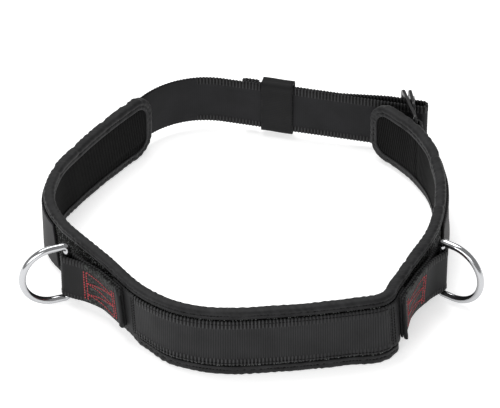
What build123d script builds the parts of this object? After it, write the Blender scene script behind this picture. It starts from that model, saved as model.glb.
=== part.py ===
"""Padded work-positioning belt, standing on its lower edge as a closed loop.

A long foam pad goes round the wearer's back and hips. Webbing runs along its outer face,
a steel ring hangs in a sewn loop on each hip, and a waist strap closes the belt at the
front through a pass-through buckle. Millimetres, +Z up, the floor at Z = 0.

Everything soft follows the belt's plan route: straight runs and bends, one after the other,
from the pad's left end round the back to its right end. A station is a distance along that
route, and a side is a distance outward from the middle of the pad.
"""

from build123d import *
from math import atan2, cos, degrees, hypot, radians, sin, tan
import os

os.makedirs("parts", exist_ok=True)

# ------------------------------------------------------------------ driving dimensions
pad_height = 60.0
foam_thickness = 5.6
cloth_thickness = 0.7          # lining and outer cover
binding_thickness = 0.8
binding_width = 8.0            # how far the binding laps over each face
pad_end_radius = 20.0
webbing_width = 45.0
back_webbing_width = 41.0
back_webbing_rise = 2.0        # its middle above the pad's middle
webbing_thickness = 2.2
layer_gap = 0.3                # air between two layers of webbing that aren't sewn flat
lap_gap = 1.0                  # between two webbings that end under one ring strap

# plan route of the pad: the floor place and heading of its left end, then its pieces
route_x = -88.5
route_y = 134.0
route_heading = 231.0
end_run = 32.0
left_side_radius = 456.0
left_side_turn = 10.0
left_hip_radius = 88.6
left_hip_turn = 65.5
hip_run = 80.0                 # straight stretch that carries a ring strap, on each hip
left_back_radius = 103.0
left_back_turn = 57.0
back_radius = 640.0
back_turn = 9.5
right_back_radius = 22.0
right_back_turn = 54.5
right_hip_radius = 155.0
right_hip_turn = 62.5
right_end_run = 24.5

# hip rings and the webbing loops that hold them
ring_wire = 6.0
ring_clearance = 0.4           # between the ring's bar and the loop round it
ring_inner_height = 46.0
ring_depth = 38.0              # middle of the bar to the middle of the bow
ring_corner_radius = 4.0
left_ring_inset = 14.0         # the bar stands this far inside its end of the hip run
right_ring_inset = 4.5
left_strap_length = 66.0       # from the ring's bar to the hem
right_strap_length = 75.0
ring_strap_width = 40.0
ring_strap_rise = 1.0          # its middle above the ring's and the pad's middle
loop_lean = 22.0               # a loop's outer layer leans in by this, round any bar
loop_ease = 30.0
left_ring_angle = 199.0        # where each ring points at rest
right_ring_angle = 325.0
hem_fold = 5.0
fold_radius = 1.3              # middle of the webbing at a tight fold

# stitching
thread_width = 0.8
thread_height = 0.35
panel_inset = 3.5              # from the strap's hem to the last row of the red panel
panel_length = 39.0
panel_height = 31.0
panel_row_gap = 3.0
panel_strokes = 5
seam_inset = 4.0
sewn_gap = 0.15                # between a webbing's edge and a stitch row beside it

# waist strap, its tail and its keeper
strap_bend_radius = 67.0
strap_bend_turn = -64.5
strap_run = 171.0              # straight stretch from the bend to the hairpin in the buckle
hairpin_radius = 4.0           # middle of the webbing
tail_parallel = 26.0           # the tail leaves the hairpin this far before it closes in
tail_lean = 8.0
tail_ease = 60.0
tail_end = 18.0                # from the start of the straight stretch to the tail's end
tail_hem = 12.0
keeper_start = 33.5            # from the start of the straight stretch
keeper_width = 27.0
keeper_thickness = 1.5
keeper_depth = 9.0             # room inside the loop, across the strap
keeper_inner_gap = 0.6
keeper_drop = 1.5
keeper_rise = 2.0
keeper_corner_radius = 2.5

# buckle
plate_height = 58.0
plate_thickness = 2.5
plate_corner_radius = 6.0
plate_edge_radius = 0.6
window_height = 49.0
window_corner_radius = 1.5
frame_heading = 103.0          # the way the frame plate lies at rest
frame_bar = 6.0
frame_rear_bar = 4.5
window_clearance = 1.6         # between the frame's window and the webbing in it
plate_window = 17.0
plate_rail = 4.5
plate_tilt = 6.0               # how far the plate stands open from the frame
plate_gap = 0.6
slide_bar_diameter = 3.5
slide_bar_play = 0.4
cheek_thickness = 1.0
cheek_width = 4.0
cheek_reach = 3.3              # how far a cheek laps over the plate's side rail
cheek_play = 0.2

# anchor webbing, on the wearer's right
anchor_leave = 731.5           # station where it leaves the pad
anchor_free_run = 27.0
anchor_lap = 29.0              # from the frame's bar to the end of the loop's outer layer
anchor_play = 0.35
anchor_seam = 26.0

# ------------------------------------------------------------------ derived sizes
half_foam = foam_thickness / 2
half_body = half_foam + cloth_thickness
half_pad = half_body + binding_thickness
half_web = webbing_thickness / 2
middle_z = pad_height / 2
webbing_low = middle_z - webbing_width / 2
back_webbing_low = middle_z + back_webbing_rise - back_webbing_width / 2
ring_strap_low = middle_z + ring_strap_rise - ring_strap_width / 2
webbing_side = half_pad + half_web                      # middle of webbing laid on the pad
strap_side = half_pad + webbing_thickness + half_web    # middle of the ring strap's inner layer
ring_loop_radius = ring_wire / 2 + ring_clearance + half_web
ring_side = strap_side + ring_loop_radius               # middle of the ring's bar


# ------------------------------------------------------------------ the route
def straight(length):
    return (length, 0.0)


def bend(radius, turn):
    """A bend that turns left for a positive angle and right for a negative one."""
    return (radius * radians(abs(turn)), turn)


def advance(spot, piece):
    """The place and heading (x, y, degrees) at the end of a piece that starts at spot."""
    x, y, heading = spot
    length, turn = piece
    before = radians(heading)
    if turn == 0.0:
        return (x + length * cos(before), y + length * sin(before), heading)
    radius = length / radians(turn)
    after = radians(heading + turn)
    return (x + radius * (sin(after) - sin(before)),
            y - radius * (cos(after) - cos(before)),
            heading + turn)


def aside(spot, side):
    """The floor point that lies side to the right of a spot, which is outward on the pad."""
    x, y, heading = spot
    return (x + side * sin(radians(heading)), y - side * cos(radians(heading)))


def stretch(pieces, first, last):
    """The pieces between two stations."""
    kept = []
    here = 0.0
    for length, turn in pieces:
        low = max(first, here)
        high = min(last, here + length)
        if high > low:
            kept.append((high - low, turn * (high - low) / length))
        here += length
    return kept


def spot_at(start, pieces, station):
    spot = start
    for piece in stretch(pieces, 0.0, station):
        spot = advance(spot, piece)
    return spot


def draw_side(start, pieces, side):
    """One long edge of a band, into the active BuildLine. Returns its two ends."""
    spot = start
    for piece in pieces:
        after = advance(spot, piece)
        if piece[1] == 0.0:
            Line(aside(spot, side), aside(after, side))
        else:
            halfway = advance(spot, (piece[0] / 2, piece[1] / 2))
            ThreePointArc(aside(spot, side), aside(halfway, side), aside(after, side))
        spot = after
    return aside(start, side), aside(spot, side)


def draw_band(start, pieces, near, far):
    """The closed outline of a band between two sides, into the active BuildLine."""
    near_start, near_end = draw_side(start, pieces, near)
    far_start, far_end = draw_side(start, pieces, far)
    Line(near_start, far_start)
    Line(near_end, far_end)


pad_start = (route_x, route_y, route_heading)
pad_route = [
    straight(end_run),
    bend(left_side_radius, left_side_turn),
    bend(left_hip_radius, left_hip_turn),
    straight(hip_run),
    bend(left_back_radius, left_back_turn),
    bend(back_radius, back_turn),
    bend(right_back_radius, right_back_turn),
    straight(hip_run),
    bend(right_hip_radius, right_hip_turn),
    straight(right_end_run),
]
pad_length = sum(length for length, turn in pad_route)
left_hip_station = sum(length for length, turn in pad_route[:3])
right_hip_station = sum(length for length, turn in pad_route[:8])
left_bar_station = left_hip_station + left_ring_inset
right_bar_station = right_hip_station - right_ring_inset
left_hem_station = left_bar_station + left_strap_length
right_hem_station = right_bar_station - right_strap_length


# ------------------------------------------------------------------ the pad
def pad_layer(near, far, inset):
    """A layer of the pad, inset from its outline, with rounded ends."""
    run = stretch(pad_route, inset, pad_length - inset)
    with BuildPart() as layer:
        with BuildSketch(Plane.XY.offset(inset)):
            with BuildLine():
                draw_band(spot_at(pad_start, pad_route, inset), run, near, far)
            make_face()
        extrude(amount=pad_height - 2 * inset)
        for station in (inset, pad_length - inset):
            x, y = aside(spot_at(pad_start, pad_route, station), (near + far) / 2)
            corners = layer.edges().filter_by(GeomType.LINE).sort_by_distance((x, y, middle_z))
            ends = [e for e in corners if abs(e.length - (far - near)) < 0.01
                    and hypot(e.center().X - x, e.center().Y - y) < 0.01]
            fillet(ends, radius=pad_end_radius - inset)
    return layer.part


with BuildPart() as foam_core:
    add(pad_layer(-half_foam, half_foam, binding_thickness))

with BuildPart() as outer_cover:
    add(pad_layer(half_foam, half_body, binding_thickness))

with BuildPart() as inner_lining:
    add(pad_layer(-half_body, -half_foam, binding_thickness))

with BuildPart() as edge_binding:
    add(pad_layer(-half_pad, half_pad, 0.0))
    add(pad_layer(-half_body, half_body, binding_thickness), mode=Mode.SUBTRACT)
    add(pad_layer(-half_pad - 1, half_pad + 1, binding_width), mode=Mode.SUBTRACT)

with BuildPart() as binding_thread:
    row = binding_width - 1.5
    for near, far in ((half_pad, half_pad + thread_height), (-half_pad - thread_height, -half_pad)):
        add(pad_layer(near, far, row))
        add(pad_layer(near - 1, far + 1, row + thread_width), mode=Mode.SUBTRACT)
    with BuildSketch(Plane.XY.offset(webbing_low - sewn_gap)):
        with BuildLine():
            draw_band(pad_start, stretch(pad_route, 0.0, 2 * pad_end_radius),
                      half_pad, half_pad + 1)
        make_face()
    extrude(amount=webbing_width + 2 * sewn_gap, mode=Mode.SUBTRACT)


# ------------------------------------------------------------------ webbing on the pad
def web(start, pieces, side=0.0, low=webbing_low, width=webbing_width):
    """A length of webbing on edge, whose middle runs at one side of a route."""
    with BuildPart() as length_of_web:
        with BuildSketch(Plane.XY.offset(low)):
            with BuildLine():
                draw_band(start, pieces, side - half_web, side + half_web)
            make_face()
        extrude(amount=width)
    return length_of_web.part


def seam_box(start, pieces, face, inset, low=webbing_low, width=webbing_width):
    """A closed row of stitches on a webbing face, inset from its edges."""
    length = sum(piece[0] for piece in pieces)
    with BuildPart() as seam:
        for grow, mode in ((0.0, Mode.ADD), (thread_width, Mode.SUBTRACT)):
            edge = inset + grow
            with BuildSketch(Plane.XY.offset(low + edge)):
                with BuildLine():
                    draw_band(spot_at(start, pieces, edge), stretch(pieces, edge, length - edge),
                              face - grow, face + thread_height + grow)
                make_face()
            extrude(amount=width - 2 * edge, mode=mode)
    return seam.part


left_meeting = left_hem_station - left_strap_length / 2
right_meeting = right_hem_station + right_strap_length / 2
back_first = left_meeting
back_last = right_meeting
back_start = spot_at(pad_start, pad_route, back_first)
back_run = stretch(pad_route, back_first, back_last)

with BuildPart() as back_webbing:
    add(web(back_start, back_run, webbing_side, back_webbing_low, back_webbing_width))

with BuildPart() as back_webbing_thread:
    seam_first = left_hem_station + 10.0
    seam_last = right_hem_station - 10.0
    add(seam_box(spot_at(pad_start, pad_route, seam_first),
                 stretch(pad_route, seam_first, seam_last),
                 half_pad + webbing_thickness, seam_inset,
                 back_webbing_low, back_webbing_width))


# ------------------------------------------------------------------ hip rings
def loop_pieces(length, radius, way, lap):
    """Webbing that runs out for length, turns back round a bar and closes on itself.

    The returning layer leans in until it lies a layer gap away, then runs flat to a lap
    from the bar. way is +1 for a loop on the left, -1 on the right.
    """
    lean = radians(loop_lean)
    closing = radius * (1 + cos(lean)) - loop_ease * (1 - cos(lean)) - layer_gap
    slant = (closing - webbing_thickness) / sin(lean)
    flat = lap - (radius + loop_ease) * sin(lean) - slant * cos(lean)
    return [straight(length), bend(radius, way * (180.0 + loop_lean)), straight(slant),
            bend(loop_ease, -way * loop_lean), straight(flat)]


def ring_strap(hem_station, length, toward_bar):
    """The sewn loop of one hip. toward_bar is the way along the route to the ring's bar."""
    spot = spot_at(pad_start, pad_route, hem_station)
    x, y = aside(spot, strap_side)
    if toward_bar < 0:
        start = (x, y, spot[2] + 180.0)
        way = 1.0
    else:
        start = (x, y, spot[2])
        way = -1.0
    pieces = loop_pieces(length, ring_loop_radius, way, length)
    pieces = pieces + [bend(fold_radius, way * -180.0), straight(hem_fold)]
    return web(start, pieces, 0.0, ring_strap_low, ring_strap_width)


with BuildPart() as left_ring_strap:
    add(ring_strap(left_hem_station, left_strap_length, -1))

with BuildPart() as right_ring_strap:
    add(ring_strap(right_hem_station, right_strap_length, 1))


def stitch_rows(plane, rows):
    """Rows of stitches on a flat face, each from one point of the face to another."""
    with BuildPart() as thread:
        with BuildSketch(plane):
            for (x0, y0), (x1, y1) in rows:
                middle = ((x0 + x1) / 2, (y0 + y1) / 2, 0)
                angle = degrees(atan2(y1 - y0, x1 - x0))
                with Locations(Location(middle, (0, 0, angle))):
                    SlotCenterToCenter(hypot(x1 - x0, y1 - y0), thread_width)
        extrude(amount=thread_height)
    return thread.part


def red_panel(hem_station, toward_bar):
    """The box and zigzag that close a ring strap, on its outer face."""
    spot = spot_at(pad_start, pad_route, hem_station)
    x, y = aside(spot, ring_strap_face)
    along = radians(spot[2])
    x_dir = (-toward_bar * cos(along), -toward_bar * sin(along), 0)
    face = Plane(origin=(x, y, ring_strap_low + ring_strap_width / 2), x_dir=x_dir,
                 z_dir=(sin(along), -cos(along), 0))
    top = -toward_bar * panel_height / 2
    outer = (-panel_inset - panel_length, -panel_inset)
    inner = (outer[0] + panel_row_gap, outer[1] - panel_row_gap)
    rows = [((column, -top), (column, top)) for column in outer + inner]
    fall = 2 * top / panel_strokes
    for stroke in range(panel_strokes):
        ends = inner if stroke % 2 == 0 else (inner[1], inner[0])
        rows.append(((ends[0], top - stroke * fall), (ends[1], top - (stroke + 1) * fall)))
    return stitch_rows(face, rows)


ring_strap_face = strap_side + webbing_thickness + layer_gap + half_web

with BuildPart() as left_ring_thread:
    add(red_panel(left_hem_station, -1))

with BuildPart() as right_ring_thread:
    add(red_panel(right_hem_station, 1))


def d_ring(bar_station, angle):
    """A steel D-ring on edge, its straight bar upright, pointing at an angle seen from above."""
    x, y = aside(spot_at(pad_start, pad_route, bar_station), ring_side)
    way = radians(angle)
    half = (ring_inner_height + ring_wire) / 2
    corner = ring_corner_radius
    turn = corner * (1 - cos(radians(45)))
    plane = Plane(origin=(x, y, middle_z), x_dir=(cos(way), sin(way), 0),
                  z_dir=(sin(way), -cos(way), 0))
    with BuildPart() as ring:
        with BuildLine(plane) as wire:
            Line((0, 0), (0, half - corner))
            ThreePointArc((0, half - corner), (turn, half - turn), (corner, half))
            Line((corner, half), (ring_depth - half, half))
            ThreePointArc((ring_depth - half, half), (ring_depth, 0), (ring_depth - half, -half))
            Line((ring_depth - half, -half), (corner, -half))
            ThreePointArc((corner, -half), (turn, turn - half), (0, corner - half))
            Line((0, corner - half), (0, 0))
        with BuildSketch(Plane(origin=(x, y, middle_z), z_dir=(0, 0, 1))):
            Circle(ring_wire / 2)
        sweep(path=wire.wires()[0])
    return ring.part


with BuildPart() as left_d_ring:
    add(d_ring(left_bar_station, left_ring_angle))

with BuildPart() as right_d_ring:
    add(d_ring(right_bar_station, right_ring_angle))


# ------------------------------------------------------------------ waist strap
strap_first = spot_at(pad_start, pad_route, left_meeting - lap_gap)
strap_on_pad = stretch(pad_route, 0.0, left_meeting - lap_gap)
x, y = aside(pad_start, webbing_side)
strap_off_pad = (x, y, route_heading - 180.0)
strap_line = advance(strap_off_pad, bend(strap_bend_radius, strap_bend_turn))
tail_drop = 2 * hairpin_radius - webbing_thickness - layer_gap
tail_bow = 2 * tail_ease * (1 - cos(radians(tail_lean)))
tail_slant = (tail_drop - tail_bow) / sin(radians(tail_lean))
tail_taper = 2 * tail_ease * sin(radians(tail_lean)) + tail_slant * cos(radians(tail_lean))
tail_run = strap_run - tail_parallel - tail_taper - tail_end

with BuildPart() as waist_strap:
    x, y = aside(strap_first, webbing_side)
    on_pad = [(length + webbing_side * radians(turn), -turn)
              for length, turn in reversed(strap_on_pad)]
    free = [
        bend(strap_bend_radius, strap_bend_turn),
        straight(strap_run),
        bend(hairpin_radius, 180.0),
        straight(tail_parallel),
        bend(tail_ease, tail_lean),
        straight(tail_slant),
        bend(tail_ease, -tail_lean),
        straight(tail_run),
        bend(fold_radius, -180.0),
        straight(tail_hem),
    ]
    add(web((x, y, strap_first[2] - 180.0), on_pad + free))

with BuildPart() as waist_strap_thread:
    add(seam_box(spot_at(pad_start, pad_route, 8.0), stretch(pad_route, 8.0, 8.0 + anchor_seam),
                 half_pad + webbing_thickness, seam_inset))


def strap_plane(along, side):
    """Upright plane across the waist strap, x outward from the wearer and y upward."""
    x, y, heading = advance(strap_line, straight(along))
    way = radians(heading)
    return Plane(origin=(x - side * sin(way), y + side * cos(way), 0),
                 x_dir=(-sin(way), cos(way), 0), z_dir=(cos(way), sin(way), 0))


def strap_face(along, side):
    """Upright plane on an outward face of the waist strap, y upward, at mid height."""
    x, y, heading = advance(strap_line, straight(along))
    way = radians(heading)
    return Plane(origin=(x - side * sin(way), y + side * cos(way), middle_z),
                 x_dir=(-cos(way), -sin(way), 0), z_dir=(-sin(way), cos(way), 0))


with BuildPart() as tail_thread:
    hem_face = webbing_thickness + layer_gap + 2 * fold_radius + half_web
    half_row = webbing_width / 2 - seam_inset
    add(stitch_rows(strap_face(tail_end + tail_hem / 2, hem_face),
                    [((offset, -half_row), (offset, half_row)) for offset in (-1.5, 1.5)]))

with BuildPart() as keeper_band:
    inner_height = webbing_width + keeper_drop + keeper_rise
    inner_middle = middle_z + (keeper_rise - keeper_drop) / 2
    with BuildSketch(strap_plane(keeper_start, keeper_depth / 2 - half_web - keeper_inner_gap)):
        with Locations((0, inner_middle)):
            RectangleRounded(keeper_depth + 2 * keeper_thickness,
                             inner_height + 2 * keeper_thickness,
                             keeper_corner_radius + keeper_thickness)
            RectangleRounded(keeper_depth, inner_height, keeper_corner_radius,
                             mode=Mode.SUBTRACT)
    extrude(amount=keeper_width)

with BuildPart() as keeper_thread:
    keeper_face = keeper_depth - half_web - keeper_inner_gap + keeper_thickness
    add(stitch_rows(strap_face(keeper_start + keeper_width / 2, keeper_face),
                    [((offset, -half_row), (offset, half_row)) for offset in (-1.5, 1.5)]))


# ------------------------------------------------------------------ buckle
def distance_to_line(spot, other):
    """How far ahead of a spot its heading meets the line through another spot."""
    way = radians(spot[2])
    line = radians(other[2])
    dx = other[0] - spot[0]
    dy = other[1] - spot[1]
    return (dx * sin(line) - dy * cos(line)) / (cos(way) * sin(line) - sin(way) * cos(line))


anchor_side = webbing_side
anchor_loop_radius = (hypot(frame_bar, plate_thickness) / 2 + anchor_play + half_web)
anchor_leave_spot = spot_at(pad_start, pad_route, anchor_leave)
x, y = aside(anchor_leave_spot, anchor_side)
anchor_end = advance((x, y, anchor_leave_spot[2]), straight(anchor_free_run))
x, y = aside(anchor_end, anchor_loop_radius)
frame_spot = (x, y, frame_heading)
x, y = aside(strap_line, -hairpin_radius)
hairpin_axis = (x, y, strap_line[2])

slant = radians(frame_heading - 90.0 - strap_line[2])
webbing_reach = (hairpin_radius + half_web) / cos(slant) + plate_thickness / 2 * tan(slant)
axis_in_frame = distance_to_line(frame_spot, hairpin_axis)
window_end = axis_in_frame + webbing_reach + window_clearance
frame_end = window_end + frame_rear_bar

half_plate = plate_window / 2 + plate_rail
plate_side = plate_thickness + plate_gap + half_plate * sin(radians(plate_tilt))
x, y = aside(frame_spot, plate_side)
beside_frame = (x, y, frame_heading)
bar_spot = advance(beside_frame, straight(distance_to_line(beside_frame, hairpin_axis)))
bar_spot = (bar_spot[0], bar_spot[1], frame_heading - plate_tilt)


def plate_plane(spot):
    """Upright plane through a spot, x along its heading and y upward."""
    way = radians(spot[2])
    return Plane(origin=(spot[0], spot[1], middle_z), x_dir=(cos(way), sin(way), 0),
                 z_dir=(sin(way), -cos(way), 0))


def steel_plate(spot, first, last, window_first, window_last):
    """A flat plate with one window, between distances measured along its spot's heading."""
    with BuildPart() as plate:
        with BuildSketch(plate_plane(spot)):
            with Locations(((first + last) / 2, 0)):
                RectangleRounded(last - first, plate_height, plate_corner_radius)
            with Locations(((window_first + window_last) / 2, 0)):
                RectangleRounded(window_last - window_first, window_height,
                                 window_corner_radius, mode=Mode.SUBTRACT)
        extrude(amount=plate_thickness / 2, both=True)
        fillet(plate.faces().filter_by(plate_plane(spot)).edges(), plate_edge_radius)
    return plate.part


with BuildPart() as buckle_frame:
    add(steel_plate(frame_spot, -frame_bar / 2, frame_end, frame_bar / 2, window_end))

with BuildPart() as buckle_plate:
    add(steel_plate(bar_spot, -half_plate, half_plate, -plate_window / 2, plate_window / 2))

with BuildPart() as buckle_bar:
    half_window = window_height / 2
    cheek_side = plate_thickness / 2 + cheek_play
    with BuildSketch(Plane(origin=(bar_spot[0], bar_spot[1], middle_z), z_dir=(0, 0, 1))):
        Circle(slide_bar_diameter / 2)
    extrude(amount=half_window - slide_bar_play, both=True)
    with BuildSketch(plate_plane(bar_spot)):
        for end in (-1, 1):
            with Locations((0, end * (half_window - slide_bar_play + cheek_reach / 2))):
                Rectangle(cheek_width, cheek_reach + 2 * slide_bar_play)
    extrude(amount=cheek_side + cheek_thickness, both=True)
    with BuildSketch(plate_plane(bar_spot)):
        for end in (-1, 1):
            with Locations((0, end * (half_window - slide_bar_play + cheek_reach))):
                Rectangle(cheek_width + 1, 2 * cheek_reach)
    extrude(amount=cheek_side, both=True, mode=Mode.SUBTRACT)

with BuildPart() as anchor_webbing:
    anchor_first = right_meeting + lap_gap
    first_spot = spot_at(pad_start, pad_route, anchor_first)
    x, y = aside(first_spot, anchor_side)
    on_pad = [(length + anchor_side * radians(turn), turn)
              for length, turn in stretch(pad_route, anchor_first, anchor_leave)]
    loop = loop_pieces(anchor_free_run, anchor_loop_radius, -1.0, anchor_lap)
    add(web((x, y, first_spot[2]), on_pad + loop))

with BuildPart() as anchor_thread:
    seam_first = anchor_leave - anchor_seam - 4.0
    add(seam_box(spot_at(pad_start, pad_route, seam_first),
                 stretch(pad_route, seam_first, seam_first + anchor_seam),
                 half_pad + webbing_thickness, seam_inset))


# ------------------------------------------------------------------ files
nodes = {
    "foam_core": foam_core,
    "outer_cover": outer_cover,
    "inner_lining": inner_lining,
    "edge_binding": edge_binding,
    "binding_thread": binding_thread,
    "back_webbing": back_webbing,
    "back_webbing_thread": back_webbing_thread,
    "left_ring_strap": left_ring_strap,
    "right_ring_strap": right_ring_strap,
    "left_ring_thread": left_ring_thread,
    "right_ring_thread": right_ring_thread,
    "left_d_ring": left_d_ring,
    "right_d_ring": right_d_ring,
    "waist_strap": waist_strap,
    "waist_strap_thread": waist_strap_thread,
    "tail_thread": tail_thread,
    "keeper_band": keeper_band,
    "keeper_thread": keeper_thread,
    "anchor_webbing": anchor_webbing,
    "anchor_thread": anchor_thread,
    "buckle_frame": buckle_frame,
    "buckle_plate": buckle_plate,
    "buckle_bar": buckle_bar,
}
for name, node in nodes.items():
    node.part.label = name
    export_step(node.part, f"parts/{name}.step")
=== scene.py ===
# %% [markdown]
# # A padded work-positioning belt
# The belt is a long foam pad in cloth, bound round its edge, with webbing sewn along its outer
# face, a steel ring on each hip and a waist strap that closes it through a steel buckle.
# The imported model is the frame: it holds the hardware, and it says where every soft piece runs.
# The soft pieces are made here, each cut flat as it is on a bench and then laid along the belt.

# %% The frame
import bmesh
import bpy
from math import atan2, cos, hypot, pi, radians, sin
from mathutils import Matrix, Vector, noise


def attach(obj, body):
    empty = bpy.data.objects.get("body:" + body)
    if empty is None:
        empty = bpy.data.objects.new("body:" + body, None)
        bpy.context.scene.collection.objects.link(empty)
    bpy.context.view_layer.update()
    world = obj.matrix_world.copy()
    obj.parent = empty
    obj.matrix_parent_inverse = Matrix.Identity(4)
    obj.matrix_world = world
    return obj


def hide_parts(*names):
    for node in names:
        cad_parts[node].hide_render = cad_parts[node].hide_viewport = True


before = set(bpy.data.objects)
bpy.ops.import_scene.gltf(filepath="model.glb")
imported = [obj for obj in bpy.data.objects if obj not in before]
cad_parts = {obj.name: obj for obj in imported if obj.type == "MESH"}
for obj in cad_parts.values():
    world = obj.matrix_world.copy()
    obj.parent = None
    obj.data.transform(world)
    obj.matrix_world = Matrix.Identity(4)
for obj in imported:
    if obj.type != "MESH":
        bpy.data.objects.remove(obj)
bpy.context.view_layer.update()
mm = 0.001

# %% [markdown]
# ## The belt's plan route
# The pad stands on edge, so seen from above it is one line: straight runs and bends that follow
# each other from its left end, round the back, to its right end. A piece of route is a length
# and a turn. A station is a distance along the line and a side is a distance outward from it.
# Each hip ring's bar and each ring strap's hem has a station.

# %% Route pieces
pad_height = 60 * mm
half_pad = 4.3 * mm
web_width = 45 * mm
web_thick = 2.2 * mm
layer_gap = 0.3 * mm


def straight(length):
    return (length * mm, 0.0)


def bend(radius, turn):
    return (radius * mm * radians(abs(turn)), turn)


def advance(spot, piece):
    """Place and heading at the end of a piece of route that starts at spot."""
    x, y, heading = spot
    length, turn = piece
    before = radians(heading)
    if turn == 0.0:
        return (x + length * cos(before), y + length * sin(before), heading)
    radius = length / radians(turn)
    after = radians(heading + turn)
    return (x + radius * (sin(after) - sin(before)), y - radius * (cos(after) - cos(before)),
            heading + turn)


def line_of(start, pieces):
    """A function that gives the spot at any distance along a line of pieces."""
    spots = [start]
    ends = [0.0]
    for piece in pieces:
        spots.append(advance(spots[-1], piece))
        ends.append(ends[-1] + piece[0])

    def at(distance):
        for index, (length, turn) in enumerate(pieces):
            if distance <= ends[index + 1] or index == len(pieces) - 1:
                part = (distance - ends[index]) / length
                return advance(spots[index], (length * part, turn * part))

    return at


pad_route = [straight(32), bend(456, 10), bend(88.6, 65.5), straight(80), bend(103, 57),
             bend(640, 9.5), bend(22, 54.5), straight(80), bend(155, 62.5), straight(24.5)]
pad_start = (-88.5 * mm, 134 * mm, 231.0)
pad_line = line_of(pad_start, pad_route)
pad_length = sum(length for length, turn in pad_route)
left_hip_start = sum(length for length, turn in pad_route[:3])
right_hip_end = sum(length for length, turn in pad_route[:8])
left_bar = left_hip_start + 14 * mm
right_bar = right_hip_end - 4.5 * mm
left_strap_run = 66 * mm
right_strap_run = 75 * mm
left_hem = left_bar + left_strap_run
right_hem = right_bar - right_strap_run
print("pad", round(pad_length, 3), "m long")

# %% [markdown]
# ## How the pad leans
# A pad of cloth and foam never stands quite upright. At each hip its lower edge is drawn in,
# and towards its right end it is pushed out. The lean is a few millimetres at chosen stations,
# eased from one to the next, and everything that is sewn to the pad leans with it.

# %% Lean
# Each key is a station, then how far outward the upper and the lower edge stand, all in mm.
lean_keys = [(0, -1, -1), (60, -1, -0.5), (100, -1, 0.5), (135, 0, 2), (165, 1.5, 1),
             (205, 0, -6), (265, -2, -8), (292, -1.5, -7), (312, -1.5, -4), (345, -1.5, 1),
             (395, -3.5, 1.5), (480, -3.5, 1.5), (503, -3.5, 4), (518, -3, 3), (530, -3, -2),
             (550, -1.5, -6), (598, 1, -1), (650, -0.5, 2), (690, 0.5, 4), (720, 3.5, 5.5),
             (745, 4, 5), (770, 2.5, 4), (796, 0.5, 1)]


def ease(low, high, value):
    part = min(1.0, max(0.0, (value - low) / (high - low)))
    return part * part * (3 - 2 * part)


def lean(station, height):
    """How far outward the pad stands at a station and a height."""
    station = min(max(station, 0.0), pad_length)
    for (s0, top0, low0), (s1, top1, low1) in zip(lean_keys, lean_keys[1:]):
        if station <= s1 * mm:
            part = ease(s0 * mm, s1 * mm, station)
            top = top0 + (top1 - top0) * part
            low = low0 + (low1 - low0) * part
            up = height / pad_height
            return (top * up + low * (1 - up)) * mm
    return 0.0


end_rise = 3.5 * mm
rise_start = 670 * mm
rise_full = 750 * mm


def rise(station, height):
    """How far the lower edge of the pad's right end hangs clear of the floor."""
    return end_rise * ease(rise_start, rise_full, station) * (1 - height / pad_height)


def beside(spot, side):
    """Plan place at a distance to the right of a spot's heading, which is outward on the pad."""
    x, y, heading = spot
    return x + side * sin(radians(heading)), y - side * cos(radians(heading))


def on_pad(station, height, side):
    """The place of a point of the pad, from its station, height and side."""
    x, y = beside(pad_line(station), side + lean(station, height))
    return Vector((x, y, height + rise(station, height)))


# %% [markdown]
# ## Cutting cloth flat
# Webbing, tape and cloth are made flat, so each piece starts as a grid that lies in its own
# plane, with its length along x and its width along y in metres. Its UV map is that same flat
# place, so ribs and weave keep their true pitch wherever the piece bends afterwards.

# %% Flat pieces
def flat_piece(length, width, along, across, thickness):
    """A flat grid from (0, 0) to (length, width), with a second face below it."""
    bm = bmesh.new()
    bmesh.ops.create_grid(bm, x_segments=along, y_segments=across, size=0.5)
    bmesh.ops.translate(bm, verts=bm.verts, vec=(0.5, 0.5, 0.0))
    bmesh.ops.scale(bm, verts=bm.verts, vec=(length, width, 1.0))
    flat = bm.loops.layers.uv.new("flat")
    for face in bm.faces:
        for loop in face.loops:
            loop[flat].uv = loop.vert.co.xy
    bmesh.ops.solidify(bm, geom=bm.faces[:], thickness=thickness)
    middle = sum(vert.co.z for vert in bm.verts) / len(bm.verts)
    bmesh.ops.translate(bm, verts=bm.verts, vec=(0.0, 0.0, -middle))
    return bm


def lay(bm, place):
    """Moves every vertex from its flat place to the place that a function gives for it."""
    for vert in bm.verts:
        vert.co = place(vert.co.x, vert.co.y, vert.co.z)


def finish_piece(name, bm, material, body, nodes):
    """Makes a smooth object of the bmesh, on its body and in its nodes' place."""
    bmesh.ops.recalc_face_normals(bm, faces=bm.faces)
    mesh = bpy.data.meshes.new(name)
    bm.to_mesh(mesh)
    bm.free()
    mesh.shade_smooth()
    piece = bpy.data.objects.new(name, mesh)
    bpy.context.collection.objects.link(piece)
    mesh.materials.append(material)
    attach(piece, body)
    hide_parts(*nodes)
    print(name, len(mesh.polygons), "faces")
    return piece


# %% [markdown]
# ## Adding shader nodes
# Colours are given as sRGB hex values, as a maker's colour card gives them, and turned to
# linear light by one function. The others add a node with its settings and its inputs, and the
# few sums, ranges and waves that the materials share.

# %% Colour and nodes
def linear(hex_value):
    channels = [int(hex_value[i:i + 2], 16) / 255 for i in (1, 3, 5)]
    return [c / 12.92 if c <= 0.04045 else ((c + 0.055) / 1.055) ** 2.4 for c in channels] + [1.0]


def add_node(tree, kind, inputs=None, **settings):
    """Adds a node. Each input is a value, or the socket that feeds it."""
    made = tree.nodes.new("ShaderNode" + kind)
    for name, value in settings.items():
        setattr(made, name, value)
    for name, value in (inputs or {}).items():
        if isinstance(value, bpy.types.NodeSocket):
            tree.links.new(value, made.inputs[name])
        else:
            made.inputs[name].default_value = value
    return made


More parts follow.
